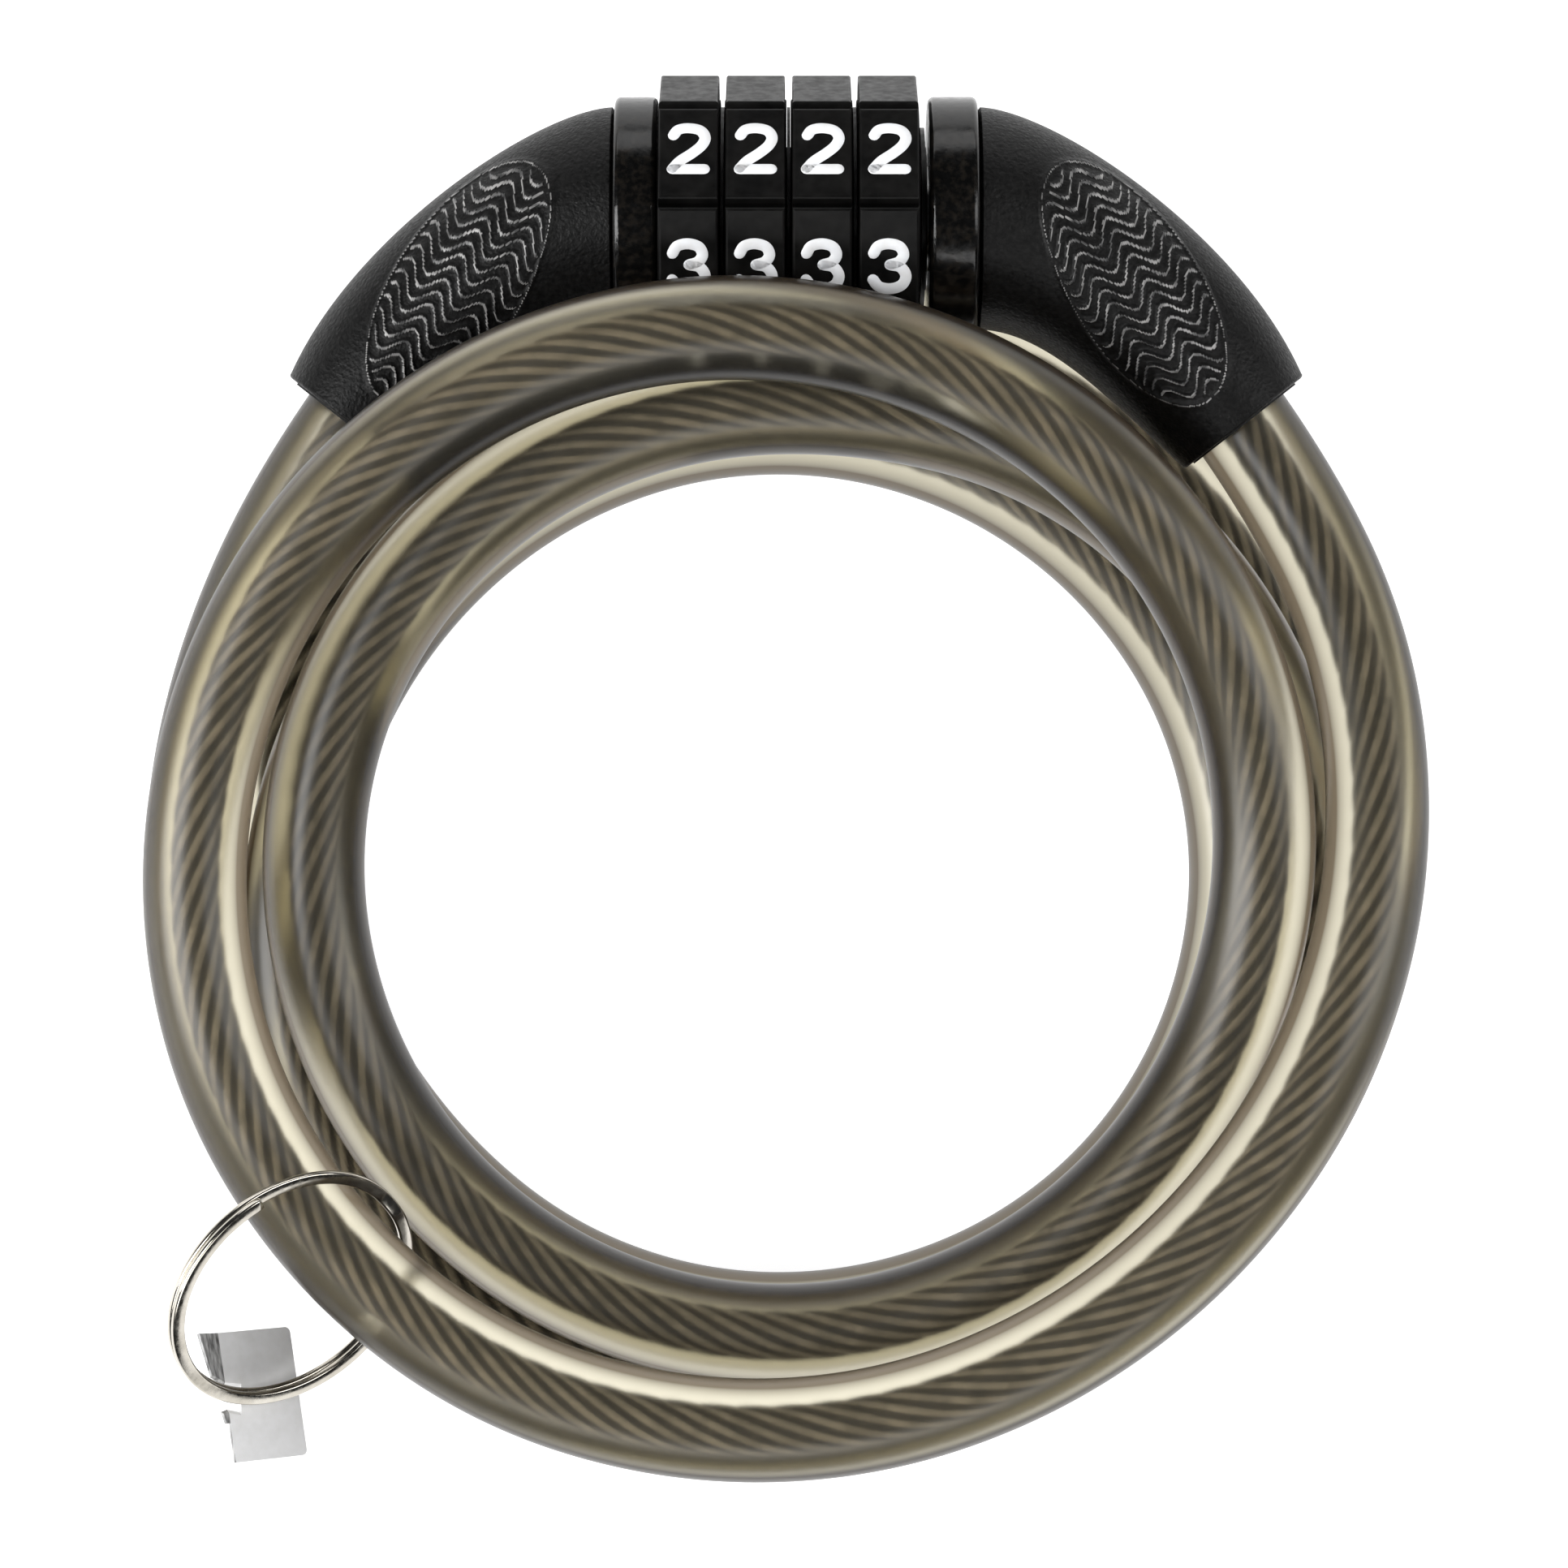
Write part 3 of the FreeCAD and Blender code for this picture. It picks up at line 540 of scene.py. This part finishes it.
def grip_rise(x, y):
    """Height of the wavy ribs and of the patch's thin rim."""
    depth, along, across = in_grip(x, y)
    if depth < -0.05:
        return 0.0
    rim = math.exp(-(depth * GRIP_HALF_WIDTH / RIM_WIDTH) ** 2)
    if depth < 0:
        return RIM_OUTSIDE * RIB_RISE * rim
    wave = RIB_SWING * math.sin(2 * math.pi * across / RIB_WAVE)
    crest = math.cos(2 * math.pi * (along + wave) / RIB_PITCH)
    rib = max(0.0, crest) ** RIB_SHARPNESS * min(1.0, depth * RIB_FADE)
    return max(RIB_RISE * rib, RIM_INSIDE * RIB_RISE * rim)


def sleeve_ring(share, scale=1.0, shift=0.0):
    """One oval ring of the sleeve, scaled about its middle and moved outward."""
    outer = Vector((smooth_curve(SLEEVE_OUTER_X, share), smooth_curve(SLEEVE_OUTER_Y, share), 0))
    inner = Vector((smooth_curve(SLEEVE_INNER_X, share), smooth_curve(SLEEVE_INNER_Y, share), 0))
    middle, across = (outer + inner) / 2, (outer - inner) / 2
    way = Vector((across.y, -across.x, 0)).normalized()
    high = Z * smooth_curve(SLEEVE_HEIGHTS, share)
    ring = []
    for k in range(SLEEVE_SIDES):
        t = 2 * math.pi * k / SLEEVE_SIDES
        out = across * math.cos(t) + high * math.sin(t)
        ring.append(middle + out * scale + way * shift)
    return ring, middle, way


def round_ring(middle, way, radius, shift):
    """A circle square to the sleeve, in step with its oval rings."""
    across = Vector((-way.y, way.x, 0))
    ring = []
    for k in range(SLEEVE_SIDES):
        t = 2 * math.pi * k / SLEEVE_SIDES
        ring.append(middle + way * shift + (across * math.cos(t) + Z * math.sin(t)) * radius)
    return ring


def sleeve_rings():
    """The grip's rings from the bore at the collar to the inside of the mouth,
    and for each face whether it lies on a rib's crest, where a highlight is painted."""
    _, middle, way = sleeve_ring(0.0)
    rings = [round_ring(middle, way, SLEEVE_BORE_R, SLEEVE_BORE_DEPTH)]
    rings += [sleeve_ring(0.0, scale, shift)[0] for scale, shift in COLLAR_END]
    crests = [0] * len(rings) * SLEEVE_SIDES
    for step in range(1, SLEEVE_STEPS):
        share = COLLAR_END_SHARE + (1 - COLLAR_END_SHARE) * (step - 1) / (SLEEVE_STEPS - 2)
        ring, middle, way = sleeve_ring(share)
        rises = [grip_rise(p.x, p.y) if p.z > 1.0 else 0.0 for p in ring]
        ring = [p + (p - middle).normalized() * rise for p, rise in zip(ring, rises)]
        rings.append(ring)
        crests += [int(rise > CREST_SHARE * RIB_RISE) for rise in rises]
    rings += [sleeve_ring(1.0, scale, shift)[0] for scale, shift in MOUTH_END]
    rings.append(round_ring(middle, way, MOUTH_R + MOUTH_EDGE, MOUTH_END[-1][1]))
    rings.append(round_ring(middle, way, MOUTH_R + 0.02, 0.1))
    rings.append(round_ring(middle, way, MOUTH_R + 0.02, -MOUTH_DEPTH))
    crests += [0] * (len(rings) * SLEEVE_SIDES - len(crests))
    return rings, crests[:(len(rings) - 1) * SLEEVE_SIDES]


def make_sleeves():
    rings, crests = sleeve_rings()
    for name, side, body in (("plug", 1, "plug"), ("fixed", -1, "lock")):
        placed = [[HEAD + Vector((side * p.x, p.y, p.z)) for p in ring] for ring in rings]
        points, faces = skin(placed)
        if side == 1:
            faces = [tuple(reversed(face)) for face in faces]
        grip = piece(f"{name}_grip", points, faces, paints["sleeve_plastic"])
        # faces on a rib's crest take the painted highlight
        grip.data.materials.append(paints["rib_crest_highlight"])
        grip.data.polygons.foreach_set("material_index", crests)
        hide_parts(f"{name}_sleeve")
        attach(grip, body)


make_sleeves()


# ------------------------------------------------------------------ the digits
# Strokes of each digit as the points they pass, from the face's middle: a
# "curve" is smooth, and a "line" keeps straight runs between its points.
DIGITS = {
    2: [("curve", [(-1.42, 1.5), (-0.95, 2.1), (0.05, 2.28), (1.15, 2.02), (1.62, 1.25),
                   (1.3, 0.4), (0.4, -0.45), (-0.75, -1.3), (-1.5, -2.18)]),
        ("line", [(-1.5, -2.2), (1.55, -2.2)])],
    3: [("curve", [(-1.5, 1.3), (-1.05, 2.0), (-0.05, 2.25), (1.0, 1.95), (1.38, 1.15),
                   (0.95, 0.45), (0.1, 0.15)]),
        ("curve", [(0.1, 0.15), (1.1, -0.1), (1.62, -0.95), (1.25, -1.85), (0.2, -2.25),
                   (-0.95, -2.05), (-1.55, -1.35)])],
    4: [("line", [(0.8, -2.2), (0.8, 2.2)]), ("line", [(0.8, 2.2), (-1.6, -0.85)]),
        ("line", [(-1.6, -0.9), (1.62, -0.9)])],
    5: [("line", [(1.3, 2.2), (-1.1, 2.2)]), ("line", [(-1.1, 2.2), (-1.3, 0.25)]),
        ("curve", [(-1.3, 0.25), (-0.4, 0.7), (0.6, 0.65), (1.42, 0.0), (1.5, -0.95),
                   (0.95, -1.9), (-0.2, -2.25), (-1.5, -1.65)])],
    6: [("curve", [(1.25, 1.75), (0.35, 2.22), (-0.75, 1.8), (-1.4, 0.6), (-1.52, -0.8),
                   (-0.9, -1.95), (0.15, -2.25), (1.15, -1.8), (1.55, -0.8), (1.1, 0.15),
                   (0.1, 0.5), (-0.9, 0.15), (-1.45, -0.6)])],
    7: [("line", [(-1.55, 2.2), (1.55, 2.2)]),
        ("curve", [(1.55, 2.2), (0.85, 1.05), (0.15, -0.45), (-0.3, -2.2)])],
    8: [("curve", [(0.0, 0.2), (-1.0, 0.6), (-1.2, 1.35), (-0.8, 2.0), (0.0, 2.25), (0.8, 2.0),
                   (1.2, 1.35), (1.0, 0.6), (0.0, 0.2)]),
        ("curve", [(0.0, 0.2), (-1.2, -0.25), (-1.55, -1.05), (-1.15, -1.9), (0.0, -2.25),
                   (1.15, -1.9), (1.55, -1.05), (1.2, -0.25), (0.0, 0.2)])],
}
FIRST_DIGIT, LAST_DIGIT = 2, 8      # the eighth face carries no digit
DIGIT_OVER_GROOVE = 3               # this digit's face is half a step past the top
DIGIT_SHIFT = {2: 0.42, 3: -0.85}   # printed this far off the middle of the face


def through(points, steps=7):
    """A smooth line that passes through the points."""
    ends = [points[0] * 2 - points[1]] + points + [points[-1] * 2 - points[-2]]
    line = []
    for i in range(1, len(ends) - 2):
        a, b, c, d = ends[i - 1:i + 3]
        for k in range(steps):
            t = k / steps
            line.append((b * 2 + (c - a) * t + (a * 2 - b * 5 + c * 4 - d) * t * t
                         + (b * 3 - a - c * 3 + d) * t ** 3) / 2)
    return line + [points[-1]]


def stroke(points):
    """A flat painted stroke with round ends, lying in XY."""
    half = DIGIT_STROKE / 2
    start_way = (points[0] - points[1]).normalized()
    end_way = (points[-1] - points[-2]).normalized()
    spine = [(p, half) for p in points]
    for turn in (30, 55, 75, 88):
        reach, width = half * math.sin(math.radians(turn)), half * math.cos(math.radians(turn))
        spine.insert(0, (points[0] + start_way * reach, width))
        spine.append((points[-1] + end_way * reach, width))
    rings = []
    for i, (place, width) in enumerate(spine):
        way = (spine[min(i + 1, len(spine) - 1)][0] - spine[max(i - 1, 0)][0]).normalized()
        side = Vector((-way.y, way.x, 0))
        edge = max(width - DIGIT_EDGE, 0.0)
        rings.append([place + side * s + Z * h for s, h in
                      ((width, 0), (edge, DIGIT_RISE), (-edge, DIGIT_RISE), (-width, 0))])
    return skin(rings, around=False)


def digit_mesh(digit):
    points, faces = [], []
    for kind, places in DIGITS[digit]:
        line = [Vector((x, y, 0)) for x, y in places]
        new_points, new_faces = stroke(through(line) if kind == "curve" else line)
        faces += [tuple(i + len(points) for i in face) for face in new_faces]
        points += new_points
    return points, faces


def make_digits():
    step = 2 * math.pi / DIAL_FACES
    for index in range(DIAL_COUNT):
        middle = DIAL_MIDDLE + (index - (DIAL_COUNT - 1) / 2) * DIAL_PITCH
        points, faces = [], []
        for digit in range(FIRST_DIGIT, LAST_DIGIT + 1):
            turn = Matrix.Rotation((digit - DIGIT_OVER_GROOVE + 0.5) * step, 3, "X")
            new_points, new_faces = digit_mesh(digit)
            faces += [tuple(i + len(points) for i in face) for face in new_faces]
            shift = Vector((middle, DIGIT_SHIFT.get(digit, 0), FACE_HEIGHT))
            points += [HEAD + turn @ (p + shift) for p in new_points]
        digits = piece(f"digits_{index + 1}", points, faces, paints["digit_paint"])
        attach(digits, f"number_{index + 1}")


make_digits()


# ------------------------------------------------------------------ ring
def make_ring():
    """Two turns of flat wire with rounded edges, from one free end to the other."""
    place = ring_place()
    wide, thick = RING_WIRE / 2 - RING_CORNER, RING_TURN / 2 - RING_CORNER
    outline = []
    for x, y, first in ((1, 1, 0), (-1, 1, 90), (-1, -1, 180), (1, -1, 270)):
        for k in range(5):
            t = math.radians(first + 22.5 * k)
            outline.append((x * wide + RING_CORNER * math.cos(t),
                            y * thick + RING_CORNER * math.sin(t)))
    last = RING_STEP_AT + RING_STEP + RING_LOWER
    high = RING_TURN / 2 + RING_GAP
    low = -high
    rings = []
    for i in range(RING_STEPS + 1):
        turn = RING_END + (last - RING_END) * i / RING_STEPS
        share = min(max((turn - RING_STEP_AT) / RING_STEP, 0), 1)
        height = high + (low - high) * share * share * (3 - 2 * share)
        size = 0.82 if i in (0, RING_STEPS) else 1.0
        t = math.radians(turn)
        out = Vector((math.cos(t), math.sin(t), 0))
        rings.append([place @ (out * (RING_R + x * size) + Z * (height + z * size))
                      for x, z in outline])
    points, faces = skin(rings)
    faces.append(tuple(reversed(range(len(outline)))))
    faces.append(tuple(range(len(points) - len(outline), len(points))))
    ring = piece("key_ring_wire", points, faces, paints["ring_nickel"])
    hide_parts("split_ring")
    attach(ring, "key_ring")


make_ring()


# ------------------------------------------------------------------ studio
FLOOR_HALF = 4000


def make_floor():
    signs = ((-1, -1), (1, -1), (1, 1), (-1, 1))
    corners = [(x * FLOOR_HALF, y * FLOOR_HALF, 0) for x, y in signs]
    floor = piece("floor", corners, [(0, 1, 2, 3)], paints["floor"], smooth=False)


def area_light(name, place, size, power, aim=(0, 0, 0.02)):
    """A soft box that points at the lock."""
    data = bpy.data.lights.new(name, "AREA")
    data.shape = "RECTANGLE"
    data.size, data.size_y = size
    data.energy = power
    light = bpy.data.objects.new(name, data)
    light.location = place
    light.rotation_euler = (Vector(aim) - Vector(place)).to_track_quat("-Z", "Y").to_euler()
    bpy.context.collection.objects.link(light)


def make_studio():
    make_floor()
    area_light("far_box", (0.0, 1.15, 0.32), (1.6, 0.45), 5)
    area_light("near_box", (0.0, -0.9, 0.85), (1.4, 0.5), 7)
    area_light("left_box", (-0.95, -0.1, 0.85), (0.5, 1.2), 20)
    area_light("right_box", (0.95, 0.1, 0.85), (0.5, 1.2), 8)
    world = bpy.data.worlds.new("studio")
    world.use_nodes = True
    background = world.node_tree.nodes["Background"]
    background.inputs["Color"].default_value = (0.95, 0.97, 1.0, 1)
    background.inputs["Strength"].default_value = 0.03
    bpy.context.scene.world = world
    bpy.context.scene.view_settings.view_transform = "Standard"


make_studio()
